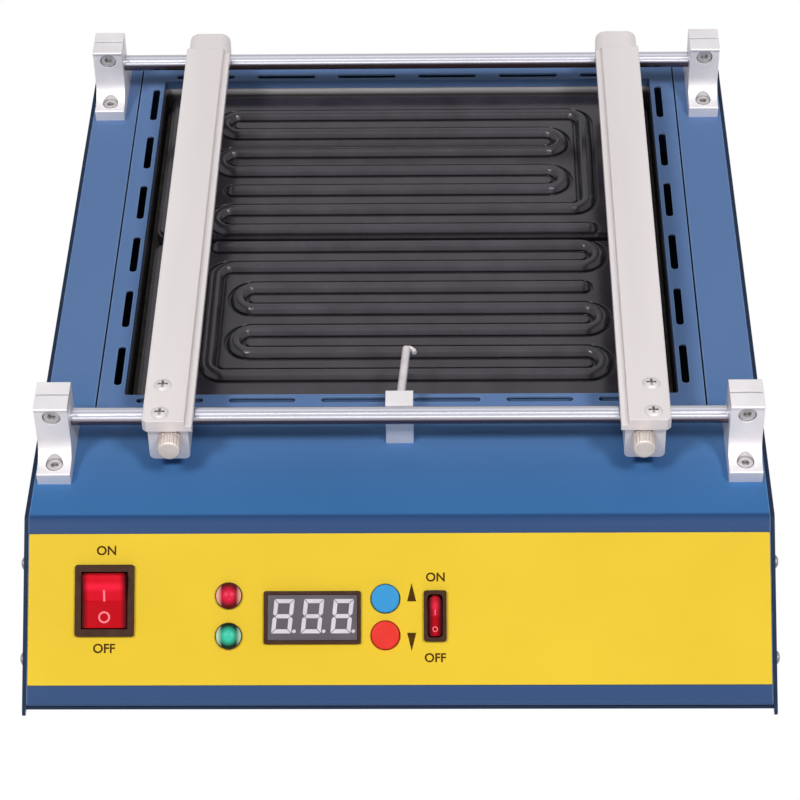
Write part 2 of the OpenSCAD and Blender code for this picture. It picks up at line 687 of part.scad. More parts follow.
// Front slider: bored for the rail and tapped for the thumb screw
module slider_front(side) {
    section = rounded([[-slider_w / 2, slider_lift], [slider_w / 2, slider_lift], [slider_w / 2, bar_z],
        [-slider_w / 2, bar_z]], [2.5, 2.5, 0, 0]);
    color(aluminium) on_bar(side) difference() {
        translate([0, slider_y0, 0]) along_y(slider_l) polygon(section);
        translate([0, rail_y, rail_z]) rotate([0, 90, 0])
            cylinder(d = rail_d + 2 * run_gap, h = 2 * slider_w, center = true);
        translate([knob_x, slider_y0 - cut, rail_z]) rotate([-90, 0, 0])
            cylinder(r = m5_r + run_gap, h = rail_y - slider_y0 + cut);
        for (y = screw_y) translate([screw_x, y, bar_z - bar_bite - cut])
            cylinder(r = m4_r + hole_gap, h = 2 * bar_bite);
    }
}
// Rear slider: the bar butts against its rounded rear half
module slider_rear(side) {
    y1 = rear_y + rear_slider_back;
    y0 = y1 - rear_slider_l;
    crown_y = bar_y1 + hole_gap;
    crown_w = bar_w - 1;
    crown_z = bar_z + bar_t - 0.4;
    color(aluminium) on_bar(side) difference() {
        union() {
            translate([0, y0, 0]) along_y(rear_slider_l) polygon(rounded([[-slider_w / 2, slider_lift],
                [slider_w / 2, slider_lift], [slider_w / 2, bar_z], [-slider_w / 2, bar_z]], [2.5, 2.5, 0, 0]));
            translate([0, crown_y, 0]) along_y(y1 - crown_y) polygon(rounded([[-crown_w / 2, rail_z],
                [crown_w / 2, rail_z], [crown_w / 2, crown_z], [-crown_w / 2, crown_z]], [0, 0, 5, 5]));
        }
        translate([0, rear_y, rail_z]) rotate([0, 90, 0])
            cylinder(d = rail_d + 2 * run_gap, h = 2 * bar_w, center = true);
        translate([screw_x, bar_y1 - cut, end_screw_z]) rotate([-90, 0, 0])
            cylinder(r = m3_r + hole_gap, h = rear_slider_l);
        translate([screw_x, y1 - end_sunk, end_screw_z]) rotate([-90, 0, 0])
            cylinder(r = m3_head + wall_gap, h = rear_slider_l);
    }
}
module bar_screws(side) {
    y_head = rear_y + rear_slider_back - end_sunk;
    color(steel) on_bar(side) {
        for (y = screw_y) translate([screw_x, y, bar_z + bar_t]) raised_screw(m4_r, bar_head, bar_t + bar_bite);
        translate([screw_x, y_head, end_screw_z]) rotate([-90, 0, 0]) pan_screw(m3_r, m3_head, y_head - bar_y1 + 7);
    }
}
// Knurled thumb screw whose shank ends just short of the rail
module thumb_screw(side) {
    flutes = 18;
    seat = 0.4;
    shank = rail_y - rail_d / 2 - tip_gap - slider_y0;
    color(steel) on_bar(side) translate([knob_x, slider_y0, rail_z]) rotate([90, 0, 0]) difference() {
        union() {
            translate([0, 0, seat]) rotate_extrude() polygon(rounded([[0, 0], [knob_d / 2, 0], [knob_d / 2, knob_l],
                [0, knob_l]], [0, 0.6, 1.2, 0]));
            translate([0, 0, -shank]) cylinder(r = m5_r, h = shank + seat + cut);
        }
        for (i = [0:flutes - 1]) rotate(i * 360 / flutes) translate([knob_d / 2 + 0.3, 0, seat + 1.2])
            cylinder(r = 0.7, h = knob_l, $fn = 8);
    }
}
module clamp_bar_left() clamp_bar(-1);
module clamp_bar_right() clamp_bar(1);
module slider_front_left() slider_front(-1);
module slider_front_right() slider_front(1);
module slider_rear_left() slider_rear(-1);
module slider_rear_right() slider_rear(1);
module bar_screws_left() bar_screws(-1);
module bar_screws_right() bar_screws(1);
module thumb_screw_left() thumb_screw(-1);
module thumb_screw_right() thumb_screw(1);

// Sensor block behind the front rail, and its steel sleeve with a thinner bent tip
probe_d = 3.9;
tip_d = 1.9;
probe_deep = 7;
probe_lean = 4;
probe_z = sensor_h - 3.5;
module on_probe() translate([0, sensor_l - probe_deep, probe_z]) rotate([-90, 0, -probe_lean]) children();
module sensor_block() {
    color(aluminium) on_deck(0, sensor_y) difference() {
        translate([-sensor_w / 2, 0, 0]) cube([sensor_w, sensor_l, sensor_h]);
        translate([0, sensor_l / 2, -cut]) cylinder(d = lead_d, h = probe_z);
        on_probe() cylinder(d = lead_d, h = sensor_l);
    }
}
// The tip's bend ends inside the sleeve and inside the bead
overlap = 0.4;
module tip_turn(r, angle) {
    translate([r, 0, 0]) rotate([90, 0, 0]) rotate(180 - angle) rotate_extrude(angle = angle)
        translate([r, 0]) circle(d = tip_d);
    translate([r * (1 - cos(angle)), 0, r * sin(angle)]) rotate([0, angle, 0]) children();
}
module sensor_probe() {
    sleeve_l = 40;
    bead_l = 1.8;
    color(steel) on_deck(0, sensor_y) on_probe() {
        cylinder(d = probe_d, h = sleeve_l);
        translate([0, 0, sleeve_l - overlap]) rotate(20) tip_turn(1.8, 160) translate([0, 0, -overlap])
            cylinder(d = tip_d + 0.5, h = bead_l);
    }
}

// Rocker switches: a housing with a bezel, and a rocker on two stub pins. Panel frame: z = 0 is the cover's skin
rocker_gap = 0.4;
pivot_z = 0.5;
pin_r = 1;
pin_l = 0.5;
bezel_t = 2;
housing_depth = 19;
function rocker_w(w) = w - 6.4 + (w < 15 ? 2.2 : 0);
function rocker_r(h) = h / 2 - (h < 25 ? 2.2 : 3.6);
function rocker_corner(h) = h < 25 ? 2.6 : 1;
module rocker_housing(at, w, h) {
    z_bezel = overlay_t;
    open_w = rocker_w(w) + 2 * rocker_gap;
    open_h = 2 * (rocker_r(h) + rocker_gap);
    body_depth = h < 25 ? housing_depth - 6 : housing_depth;
    color(black) on_panel(at[0], at[1]) difference() {
        union() {
            translate([0, 0, z_bezel]) linear_extrude(bezel_t) plate2d(w, h, 1.2);
            translate([0, 0, -body_depth]) linear_extrude(body_depth + z_bezel + cut)
                square([w - switch_lip, h - 2 * switch_lip], center = true);
        }
        translate([0, 0, pivot_z - 8]) linear_extrude(20) plate2d(open_w, open_h, rocker_corner(h) - 0.9);
        translate([0, 0, pivot_z]) rotate([0, 90, 0]) cylinder(r = pin_r + run_gap, h = open_w + 2 * pin_l, center = true);
    }
}
module rocker(at, w, h) {
    r = rocker_r(h);
    rise = tan(rocker_swing / 2) * r;
    color(switch_red) on_panel(at[0], at[1]) translate([0, 0, pivot_z]) rotate([rocker_swing / 2, 0, 0]) {
        intersection() {
            rotate([0, 90, 0]) cylinder(r = r, h = rocker_w(w), center = true);
            along_x(rocker_w(w)) polygon([[-r, -2.4], [r, -2.4], [r, bezel_t + rise], [0, bezel_t], [-r, bezel_t + rise]]);
            translate([0, 0, -h]) linear_extrude(2 * h) plate2d(rocker_w(w), 2 * r, rocker_corner(h));
        }
        rotate([0, 90, 0]) cylinder(r = pin_r, h = rocker_w(w) + 2 * rocker_gap + 2 * pin_l - 0.3, center = true);
    }
}
module power_switch() rocker_housing(power_at, power_w, power_h);
module power_rocker() rocker(power_at, power_w, power_h);
module heat_switch() rocker_housing(heat_at, heat_w, heat_h);
module heat_rocker() rocker(heat_at, heat_w, heat_h);

// Pilot lamps: threaded bodies with a flange ring, and domed lenses
ring_t = 1.4;
lens_d = lamp_d - 0.8;
module lamp_bodies() {
    depth = 16;
    color(black) for (p = lamp_at) on_panel(p[0], p[1]) translate([0, 0, overlay_t]) {
        cylinder(d = lamp_d, h = ring_t);
        translate([0, 0, -depth]) cylinder(d = lamp_neck, h = depth + cut);
        translate([0, 0, -overlay_t - sheet_t - 3]) cylinder(d = lamp_d, h = 3, $fn = 6);
    }
}
module lamp_lens(i) {
    dome_h = 2.6;
    dome_r = (lens_d * lens_d / 4 + dome_h * dome_h) / (2 * dome_h);
    on_panel(lamp_at[i][0], lamp_at[i][1]) translate([0, 0, overlay_t + ring_t]) intersection() {
        translate([0, 0, dome_h - dome_r]) sphere(r = dome_r);
        cylinder(d = lens_d + 1, h = dome_h + 1);
    }
}
module lamp_lens_red() color([0.8, 0.1, 0.15]) lamp_lens(0);
module lamp_lens_green() color([0.1, 0.55, 0.35]) lamp_lens(1);

// Display: a bezel through the panel, and a three-digit module that stands on the control board
bezel_rise = 1.6;
board_z = -11;
board_t = 1.6;
board_w = 73;
board_h = 38;
board_at = [-27.5, 44.4];
module display_bezel() {
    color(black) on_panel(display_at[0], display_at[1]) translate([0, 0, overlay_t]) difference() {
        union() {
            linear_extrude(bezel_rise) plate2d(display_w, display_h, 1);
            translate([0, 0, -overlay_t - sheet_t - 1]) linear_extrude(bezel_rise + overlay_t + sheet_t + 1)
                square([window_w + 2 * display_lip, window_h + 2 * display_lip], center = true);
        }
        cube([window_w, window_h, 20], center = true);
    }
}
module display_module() {
    face = overlay_t + bezel_rise - 0.6;
    color([0.25, 0.25, 0.27]) on_panel(display_at[0], display_at[1]) translate([0, 0, board_z])
        linear_extrude(face - board_z) square([window_w - 0.4, window_h - 0.4], center = true);
}

// Round push buttons held under the cover by a flange
module push_button(i) {
    proud = 2.2;
    flange = 1.4;
    z_flange = -sheet_t - wall_gap;
    tip = -7;
    color(i == 0 ? [0.16, 0.45, 0.78] : [0.86, 0.17, 0.14]) on_panel(button_at[i][0], button_at[i][1]) rotate_extrude()
        polygon(rounded([[0, tip], [m4_r, tip], [m4_r, z_flange - flange], [button_d / 2 + 1.2, z_flange - flange],
            [button_d / 2 + 1.2, z_flange], [button_d / 2, z_flange], [button_d / 2, overlay_t + proud],
            [0, overlay_t + proud]], [0, 0, 0, 0, 0, 0, 0.7, 0]));
}
module button_up() push_button(0);
module button_down() push_button(1);

// Control board behind the panel, on four posts under the cover, with a key switch under each button
module control_posts() {
    color(steel) for (x = [-1, 1], y = [-1, 1])
        on_panel(board_at[0] + x * (board_w / 2 - 3), board_at[1] + y * (board_h / 2 - 3))
            translate([0, 0, board_z]) cylinder(d = 5, h = -sheet_t - board_z, $fn = 6);
}
module control_board() {
    color(board_green) on_panel(board_at[0], board_at[1]) translate([0, 0, board_z - board_t])
        linear_extrude(board_t) square([board_w, board_h], center = true);
}
module tact_switches() {
    h = -7 - button_travel - wall_gap - board_z;
    color(black) for (p = button_at) on_panel(p[0], p[1]) translate([0, 0, board_z]) {
        linear_extrude(h * 0.7) square([6, 6], center = true);
        cylinder(d = 3.5, h = h);
    }
}

// Power electronics on the tray behind the panel
power_board_in = 70;
power_board_at = [body_w / 2 - power_board_in, 24];
power_board_w = 92;
power_board_d = 58;
power_post_h = 8;
z_power = z_floor + power_post_h;
module at_power(x, y, z) translate([power_board_at[0] + x, y_fold + power_board_at[1] + y, z]) children();
module power_posts() {
    color(steel) for (x = [-1, 1], y = [-1, 1])
        at_power(x * (power_board_w / 2 - 4), y * (power_board_d / 2 - 4), z_floor) cylinder(d = 6, h = power_post_h, $fn = 6);
}
module power_board() {
    color(board_green) at_power(0, 0, z_power) linear_extrude(board_t) square([power_board_w, power_board_d], center = true);
}
module heat_sink() {
    fins = 9;
    sink_w = 56;
    sink_h = 26;
    base = 4;
    color(aluminium) at_power(-12, power_board_d / 2 - 12, z_power + board_t) {
        translate([-sink_w / 2, -base, 0]) cube([sink_w, base, sink_h]);
        for (i = [0:fins - 1]) translate([-sink_w / 2 + i * (sink_w - 1.4) / (fins - 1), -cut, 0]) cube([1.4, 10, sink_h]);
    }
}
module triacs() {
    color(black) for (x = [-1, 1]) at_power(-12 + x * 15, power_board_d / 2 - 16 - 4.5, z_power + board_t) {
        translate([-5, 0, 4]) cube([10, 4.5, 16]);
        for (i = [-1:1]) translate([i * 2.5 - 0.4, 1.5, 0]) cube([0.8, 0.8, 4 + cut]);
    }
}
module terminal_block() {
    poles = 6;
    color([0.15, 0.5, 0.3]) at_power(0, 9 - power_board_d / 2, z_power + board_t) for (i = [0:poles - 1])
        translate([(i - poles / 2) * 7.6, -5, 0]) difference() {
            cube([7.6, 10, 10]);
            translate([3.8, 5, 6]) cylinder(d = 4, h = 5);
        }
}
module transformer() {
    core_w = 44;
    core_d = 34;
    core_h = 36;
    coil_w = 30;
    coil_d = 44;
    coil_h = 24;
    color([0.32, 0.31, 0.3]) translate([0, y_fold + power_board_at[1], z_floor]) {
        translate([-core_w / 2, -core_d / 2, 0]) cube([core_w, core_d, core_h]);
        translate([-coil_w / 2, -coil_d / 2, (core_h - coil_h) / 2]) cube([coil_w, coil_d, coil_h]);
    }
}

// Three-pin mains inlet
socket_w = 22;
socket_h = 15;
socket_deep = 16;
socket_r = 2;
module at_inlet() translate([inlet_x, y_rear, inlet_z]) children();
module mains_inlet() {
    body_deep = inlet_depth;
    color(black) at_inlet() difference() {
        union() {
            along_y(inlet_flange) plate2d(inlet_w, inlet_h, 3);
            translate([0, -body_deep, 0]) along_y(body_deep + cut) square([inlet_body_w, inlet_body_h], center = true);
        }
        translate([0, inlet_flange - socket_deep, 0]) along_y(socket_deep + cut)
            plate2d(socket_w, socket_h, socket_r);
        for (s = [-1, 1]) translate([s * inlet_screw_x, inlet_flange, 0]) rotate([-90, 0, 0])
            flush_body(m3_r + hole_gap, m3_head + hole_gap, 2 * inlet_flange);
        inlet_pin_places() translate([0, -2 * cut - 4, 0]) along_y(6) square([2 + 0.1, 4 + 0.1], center = true);
    }
}
module inlet_pin_places() {
    for (p = [[-7, -1.5], [0, 2.5], [7, -1.5]]) translate([p[0], inlet_flange - socket_deep, p[1]]) children();
}
module inlet_pins() {
    reach = 12;
    color(steel) at_inlet() inlet_pin_places() translate([0, -4, 0]) along_y(reach + 4) square([2, 4], center = true);
}
// Flush screws through the inlet's flange and the rear wall
module inlet_screws() {
    color(steel) at_inlet() for (s = [-1, 1]) translate([s * inlet_screw_x, inlet_flange, 0]) rotate([-90, 0, 0])
        flush_screw(m3_r, m3_head, inlet_flange + 6);
}

base_tray();
top_cover();
panel_overlay();
rubber_feet();
foot_screws();
case_screws();
heater_frame();
reflector_pan();
pan_posts();
insulation_board();
plate_spacers();
lead_bushes();
heater_plate_front();
heater_plate_rear();
plate_sensor();
front_rail();
rear_rail();
support_front_left();
support_front_right();
support_rear_left();
support_rear_right();
support_foot_screws();
support_nuts();
support_clamp_screws();
clamp_bar_left();
slider_front_left();
slider_rear_left();
bar_screws_left();
thumb_screw_left();
clamp_bar_right();
slider_front_right();
slider_rear_right();
bar_screws_right();
thumb_screw_right();
sensor_block();
sensor_probe();
power_switch();
power_rocker();
heat_switch();
heat_rocker();
lamp_bodies();
lamp_lens_red();
lamp_lens_green();
display_bezel();
display_module();
button_up();
button_down();
control_board();
control_posts();
tact_switches();
power_board();
power_posts();
transformer();
heat_sink();
triacs();
terminal_block();
mains_inlet();
inlet_pins();
inlet_screws();
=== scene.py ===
import math

import bmesh
import bpy
from mathutils import Matrix, Vector


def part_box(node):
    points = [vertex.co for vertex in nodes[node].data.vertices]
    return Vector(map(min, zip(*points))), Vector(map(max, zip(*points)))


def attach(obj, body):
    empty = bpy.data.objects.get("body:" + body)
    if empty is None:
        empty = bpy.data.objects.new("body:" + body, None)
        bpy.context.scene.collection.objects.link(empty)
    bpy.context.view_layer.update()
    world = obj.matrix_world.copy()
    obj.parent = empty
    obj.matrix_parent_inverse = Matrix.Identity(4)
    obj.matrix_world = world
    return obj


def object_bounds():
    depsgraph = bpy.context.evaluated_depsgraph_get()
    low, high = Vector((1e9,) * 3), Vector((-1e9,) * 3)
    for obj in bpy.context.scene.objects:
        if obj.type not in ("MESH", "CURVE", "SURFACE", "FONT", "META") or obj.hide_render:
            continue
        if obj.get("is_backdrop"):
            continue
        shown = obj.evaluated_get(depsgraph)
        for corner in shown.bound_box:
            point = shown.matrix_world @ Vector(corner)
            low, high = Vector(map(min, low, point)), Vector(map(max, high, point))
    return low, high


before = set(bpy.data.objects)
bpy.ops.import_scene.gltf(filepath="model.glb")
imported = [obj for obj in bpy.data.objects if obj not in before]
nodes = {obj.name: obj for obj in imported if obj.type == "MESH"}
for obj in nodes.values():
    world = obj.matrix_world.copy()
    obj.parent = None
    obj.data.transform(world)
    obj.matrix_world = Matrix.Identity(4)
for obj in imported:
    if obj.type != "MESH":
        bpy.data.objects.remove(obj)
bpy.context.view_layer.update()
scene = bpy.context.scene
scene.view_settings.view_transform = "Standard"

# The case: a tray with two cheeks and a folded cover, sheet steel with a satin blue powder coat. The coat has a
# fine orange-peel skin and slightly uneven gloss, and is rubbed paler along its edges, partly as wear and
# partly as painted highlights. The cheeks' cut edges are painted dark as shade. The slotted frame, a separate
# sheet, has the same coat, painted paler as sheen. The cover is painted paler towards the rear of the deck as
# sheen, darker on the slope as shade, and dark along its fold as shade.


def tone(red, green, blue):
    """A colour as it is seen, 0 to 255, turned into the shader's linear colour."""
    seen = [v / 255 for v in (red, green, blue)]
    return [v / 12.92 if v <= 0.04045 else ((v + 0.055) / 1.055) ** 2.4 for v in seen] + [1]


def finish(name, dark, light, gloss, grain, metal=0.0, bump=0.02, skin=2500, stretch=(1, 1, 1), edge=0.0,
           **sockets):
    """A material whose colour runs from dark to light over a coarse grain and whose roughness runs over gloss,
    with a fine skin as bump and edges rounded in the shading."""
    made = bpy.data.materials.new(name)
    made.use_nodes = True
    tree = made.node_tree
    shader = tree.nodes["Principled BSDF"]
    place = tree.nodes.new("ShaderNodeTexCoord")
    turn = tree.nodes.new("ShaderNodeMapping")
    turn.inputs["Scale"].default_value = stretch
    tree.links.new(place.outputs["Object"], turn.inputs["Vector"])
    cloud = tree.nodes.new("ShaderNodeTexNoise")
    cloud.inputs["Scale"].default_value = grain
    cloud.inputs["Detail"].default_value = 5
    tree.links.new(turn.outputs["Vector"], cloud.inputs["Vector"])
    ramp = tree.nodes.new("ShaderNodeValToRGB")
    ramp.color_ramp.elements[0].position = 0.3
    ramp.color_ramp.elements[0].color = dark
    ramp.color_ramp.elements[1].position = 0.7
    ramp.color_ramp.elements[1].color = light
    tree.links.new(cloud.outputs["Fac"], ramp.inputs["Fac"])
    tree.links.new(ramp.outputs["Color"], shader.inputs["Base Color"])
    fine = tree.nodes.new("ShaderNodeTexNoise")
    fine.inputs["Scale"].default_value = skin
    fine.inputs["Detail"].default_value = 2
    tree.links.new(turn.outputs["Vector"], fine.inputs["Vector"])
    rough = tree.nodes.new("ShaderNodeMapRange")
    rough.inputs["To Min"].default_value = gloss[0]
    rough.inputs["To Max"].default_value = gloss[1]
    tree.links.new(fine.outputs["Fac"], rough.inputs["Value"])
    tree.links.new(rough.outputs["Result"], shader.inputs["Roughness"])
    relief = tree.nodes.new("ShaderNodeBump")
    relief.inputs["Strength"].default_value = bump
    relief.inputs["Distance"].default_value = 0.0005
    tree.links.new(fine.outputs["Fac"], relief.inputs["Height"])
    if edge:
        soften = tree.nodes.new("ShaderNodeBevel")
        soften.samples = 4
        soften.inputs["Radius"].default_value = edge
        tree.links.new(soften.outputs["Normal"], relief.inputs["Normal"])
    tree.links.new(relief.outputs["Normal"], shader.inputs["Normal"])
    shader.inputs["Metallic"].default_value = metal
    for socket, value in sockets.items():
        shader.inputs[socket.replace("_", " ")].default_value = value
    return made


def lay_over(material, colour, share):
    """Mixes a colour over a finish, by a socket that gives its share."""
    tree = material.node_tree
    shader = tree.nodes["Principled BSDF"]
    mix = tree.nodes.new("ShaderNodeMix")
    mix.data_type = "RGBA"
    mix.inputs["B"].default_value = colour
    tree.links.new(share, mix.inputs["Factor"])
    tree.links.new(shader.inputs["Base Color"].links[0].from_socket, mix.inputs["A"])
    tree.links.new(mix.outputs["Result"], shader.inputs["Base Color"])


def node_of(material, kind):
    """The first node of a kind in a finish."""
    return [n for n in material.node_tree.nodes if n.type == kind][0]


def ranged(material, value, start, end, share=1.0):
    """A socket that goes from 0 to share as a value goes from start to end."""
    tree = material.node_tree
    fade = tree.nodes.new("ShaderNodeMapRange")
    fade.inputs["From Min"].default_value = start
    fade.inputs["From Max"].default_value = end
    fade.inputs["To Max"].default_value = share
    tree.links.new(value, fade.inputs["Value"])
    return fade.outputs["Result"]


def worn_and_highlit_edges(material, pale_tint, reach, share):
    """Rubs a coat paler along its outer edges, unevenly: partly wear, partly painted highlights."""
    tree = material.node_tree
    rubbed = tree.nodes.new("ShaderNodeAmbientOcclusion")
    rubbed.inside = True
    rubbed.samples = 6
    rubbed.inputs["Distance"].default_value = reach
    patchy = tree.nodes.new("ShaderNodeTexNoise")
    patchy.inputs["Scale"].default_value = 140
    tree.links.new(node_of(material, "TEX_COORD").outputs["Object"], patchy.inputs["Vector"])
    amount = tree.nodes.new("ShaderNodeMath")
    amount.operation = "MULTIPLY"
    tree.links.new(ranged(material, rubbed.outputs["AO"], 0.95, 0.55, share), amount.inputs[0])
    tree.links.new(patchy.outputs["Fac"], amount.inputs[1])
    lay_over(material, pale_tint, amount.outputs["Value"])


def place_along(material, axis):
    """A socket that gives the place along X, Y or Z."""
    tree = material.node_tree
    parts = tree.nodes.new("ShaderNodeSeparateXYZ")
    tree.links.new(node_of(material, "TEX_COORD").outputs["Object"], parts.inputs["Vector"])
    return parts.outputs[axis]


def fade_along(material, tint, axis, start, end, share=1.0):
    """Turns a finish to a tint as the place along X, Y or Z goes from start to end."""
    lay_over(material, tint, ranged(material, place_along(material, axis), start, end, share))


def fade_beside(material, tint, axis, middle, start, end, share=1.0):
    """Turns a finish to a tint as the distance from a plane across X, Y or Z goes from start to end."""
    tree = material.node_tree
    offset = tree.nodes.new("ShaderNodeMath")
    offset.operation = "SUBTRACT"
    offset.inputs[1].default_value = middle
    tree.links.new(place_along(material, axis), offset.inputs[0])
    distance = tree.nodes.new("ShaderNodeMath")
    distance.operation = "ABSOLUTE"
    tree.links.new(offset.outputs["Value"], distance.inputs[0])
    lay_over(material, tint, ranged(material, distance.outputs["Value"], start, end, share))


def shade_cut_edges(material, tint, share):
    """Paints shade on a sheet's cut edges and flanges, the faces that don't look sideways."""
    tree = material.node_tree
    parts = tree.nodes.new("ShaderNodeSeparateXYZ")
    facing = tree.nodes.new("ShaderNodeNewGeometry")
    tree.links.new(facing.outputs["True Normal"], parts.inputs["Vector"])
    sideways = tree.nodes.new("ShaderNodeMath")
    sideways.operation = "ABSOLUTE"
    tree.links.new(parts.outputs["X"], sideways.inputs[0])
    lay_over(material, tint, ranged(material, sideways.outputs["Value"], 0.6, 0.3, share))


def shade_in_hollows(material, tint, reach, start, end, share=1.0):
    """Paints shade into a finish's hollows: turns it to a tint as the open share of the view falls from start
    to end.
    """
    hollow = material.node_tree.nodes.new("ShaderNodeAmbientOcclusion")
    hollow.samples = 8
    hollow.inputs["Distance"].default_value = reach
    lay_over(material, tint, ranged(material, hollow.outputs["AO"], start, end, share))


def wear(material, *names):
    """Gives CAD nodes their finish."""
    for name in names:
        slots = nodes[name].data.materials
        slots.clear()
        slots.append(material)


def blue_coat(name, dark, light):
    """The powder coat of one sheet, in its own shade."""
    return finish(name, dark, light, (0.26, 0.38), 9, bump=0.05, skin=1800, edge=0.0004,
                  Specular_IOR_Level=0.06)


top_depth = 0.345
bend = 0.0015
deck_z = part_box("top_cover")[1].z
fold_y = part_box("top_cover")[1].y - top_depth
tray_blue = blue_coat("tray_blue", tone(56, 105, 160), tone(62, 111, 167))
# The frame's coat is painted paler than the cover's, as sheen.
frame_blue_sheen = blue_coat("frame_blue_sheen", tone(90, 120, 167), tone(100, 129, 176))
cover_blue = blue_coat("cover_blue", tone(56, 107, 162), tone(62, 113, 169))
# Painted sheen: the cover turns paler with distance from the fold, towards the rear of the deck.
fade_beside(cover_blue, tone(97, 125, 171), "Y", fold_y, 0.01, 0.10, 0.88)
# Painted shade: the slope below the fold is darker than the deck.
fade_along(cover_blue, tone(52, 76, 117), "Y", fold_y + bend, fold_y - bend, 0.95)
# Painted shade: a dark line along the fold.
fade_beside(cover_blue, tone(32, 58, 102), "Y", fold_y, 0.0020, 0.0005, 0.75)
for coat, name in ((tray_blue, "base_tray"), (frame_blue_sheen, "heater_frame"), (cover_blue, "top_cover")):
    # Edges rubbed paler: partly wear, partly painted highlights.
    worn_and_highlit_edges(coat, tone(150, 176, 206), 0.0007, 0.8)
    wear(coat, name)
# Painted shade on the tray's cut edges and flanges.
shade_cut_edges(tray_blue, tone(22, 27, 46), 0.9)

# The panel overlay: polyester film printed yellow on its back and stuck to the slope.
# Its marks are printed too: ON and OFF beside the switches, and two arrow heads beside the buttons.
# Places on the panel are measured across it from the middle, and down the slope from the fold.
slope = math.radians(42)
on_panel = Matrix.Translation((0, fold_y, deck_z)) @ Matrix.Rotation(slope, 4, "X")
film_t = 0.0005
ink_t = 0.00006
bold = 0.00012
yellow_film = finish("yellow_film", tone(222, 187, 40), tone(230, 195, 48), (0.40, 0.50), 14, bump=0.03,
                     skin=3200, edge=0.0002, Specular_IOR_Level=0.12)
wear(yellow_film, "panel_overlay")
black_ink = finish("black_ink", tone(66, 40, 6), tone(80, 52, 12), (0.45, 0.55), 300,
                   Specular_IOR_Level=0.03)


def solid(name, shape, material, body):
    """Closes a bmesh into a piece in its finish, riding on a CAD body, with its doubles merged and its faces
    pointing outwards."""
    bmesh.ops.remove_doubles(shape, verts=shape.verts, dist=1e-7)
    bmesh.ops.recalc_face_normals(shape, faces=shape.faces)
    mesh = bpy.data.meshes.new(name)
    shape.to_mesh(mesh)
    shape.free()
    mesh.materials.append(material)
    piece = bpy.data.objects.new(name, mesh)
    scene.collection.objects.link(piece)
    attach(piece, body)


def printed_word(shape, word, across, down, height):
    """A word of thick ink on the film, centred at a place on the panel."""
    letters = bpy.data.curves.new(word, "FONT")
    letters.body = word
    letters.align_x = "CENTER"
    letters.align_y = "CENTER"
    letters.size = height
    letters.extrude = ink_t / 2
    letters.offset = bold
    letters.resolution_u = 6
    writer = bpy.data.objects.new(word, letters)
    scene.collection.objects.link(writer)
    bpy.context.view_layer.update()
    evaluated = writer.evaluated_get(bpy.context.evaluated_depsgraph_get())
    mesh = bpy.data.meshes.new_from_object(evaluated)
    mesh.transform(on_panel @ Matrix.Translation((across, -down, film_t + ink_t / 2)))
    shape.from_mesh(mesh)
    bpy.data.objects.remove(writer)
    bpy.data.curves.remove(letters)
    bpy.data.meshes.remove(mesh)


def prism(shape, corners, low, high, place):
    """A flat outline raised from low to high, put in its place."""
    verts = [shape.verts.new((x, y, low)) for x, y in corners]
    face = shape.faces.new(verts)
    raised = bmesh.ops.extrude_face_region(shape, geom=[face])["geom"]
    top = [v for v in raised if isinstance(v, bmesh.types.BMVert)]
    bmesh.ops.translate(shape, vec=(0, 0, high - low), verts=top)
    bmesh.ops.transform(shape, matrix=place, verts=verts + top)


marks = bmesh.new()
for word, across, down, height in (("ON", -0.1284, 0.0150, 0.0056), ("OFF", -0.1292, 0.0579, 0.0056),
                                   ("ON", 0.0162, 0.0270, 0.0054), ("OFF", 0.0160, 0.0622, 0.0054)):
    printed_word(marks, word, across, down, height)
arrow_x, half_base, half_rise = 0.0057, 0.0020, 0.0040
for down, way in ((0.0334, 1), (0.0551, -1)):
    arrow = [(-half_base, -half_rise * way), (half_base, -half_rise * way), (0, half_rise * way)]
    prism(marks, arrow, film_t, film_t + ink_t, on_panel @ Matrix.Translation((arrow_x, -down, 0)))
solid("panel_marks", marks, black_ink, "body")

# The heater: two pressed ceramic plates with a dark glaze, painted darker in their grooves as shade, in a
# bright reflector pan painted dark below its lip as shade. The pan holds a fibre board, and the white ceramic
# spacers and bushes that carry the plates and their leads.
dark_glaze = finish("dark_glaze", tone(46, 41, 49), tone(60, 55, 63), (0.14, 0.21), 60, bump=0.06, skin=900,
                    edge=0.0013, Specular_IOR_Level=0.4)
# Painted shade in the plates' grooves, along the feet of their ridges.
shade_in_hollows(dark_glaze, tone(24, 21, 26), 0.006, 0.92, 0.46)
wear(dark_glaze, "heater_plate_front", "heater_plate_rear")
bright_steel = finish("bright_steel", tone(224, 219, 219), tone(240, 235, 235), (0.35, 0.5), 40, metal=0.05,
                      skin=1400, stretch=(1, 8, 8), edge=0.0002)
wear(bright_steel, "pan_posts", "plate_sensor")
pan_steel_shaded = finish("pan_steel_shaded", tone(206, 202, 204), tone(226, 222, 224), (0.35, 0.5), 40, metal=0.05,
                     skin=1400, stretch=(1, 8, 8), edge=0.0002)
lip_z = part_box("reflector_pan")[1].z
# Painted shade: the pan's walls dark below its lip.
fade_along(pan_steel_shaded, tone(40, 34, 34), "Z", lip_z - 0.0015, lip_z - 0.0045, 0.92)
wear(pan_steel_shaded, "reflector_pan")
fibre_board = finish("fibre_board", tone(84, 80, 76), tone(108, 104, 98), (0.85, 0.95), 120, bump=0.4,
                     skin=600)
wear(fibre_board, "insulation_board")
white_ceramic = finish("white_ceramic", tone(224, 219, 206), tone(238, 234, 224), (0.45, 0.6), 90,
                       bump=0.06)
wear(white_ceramic, "plate_spacers", "lead_bushes")

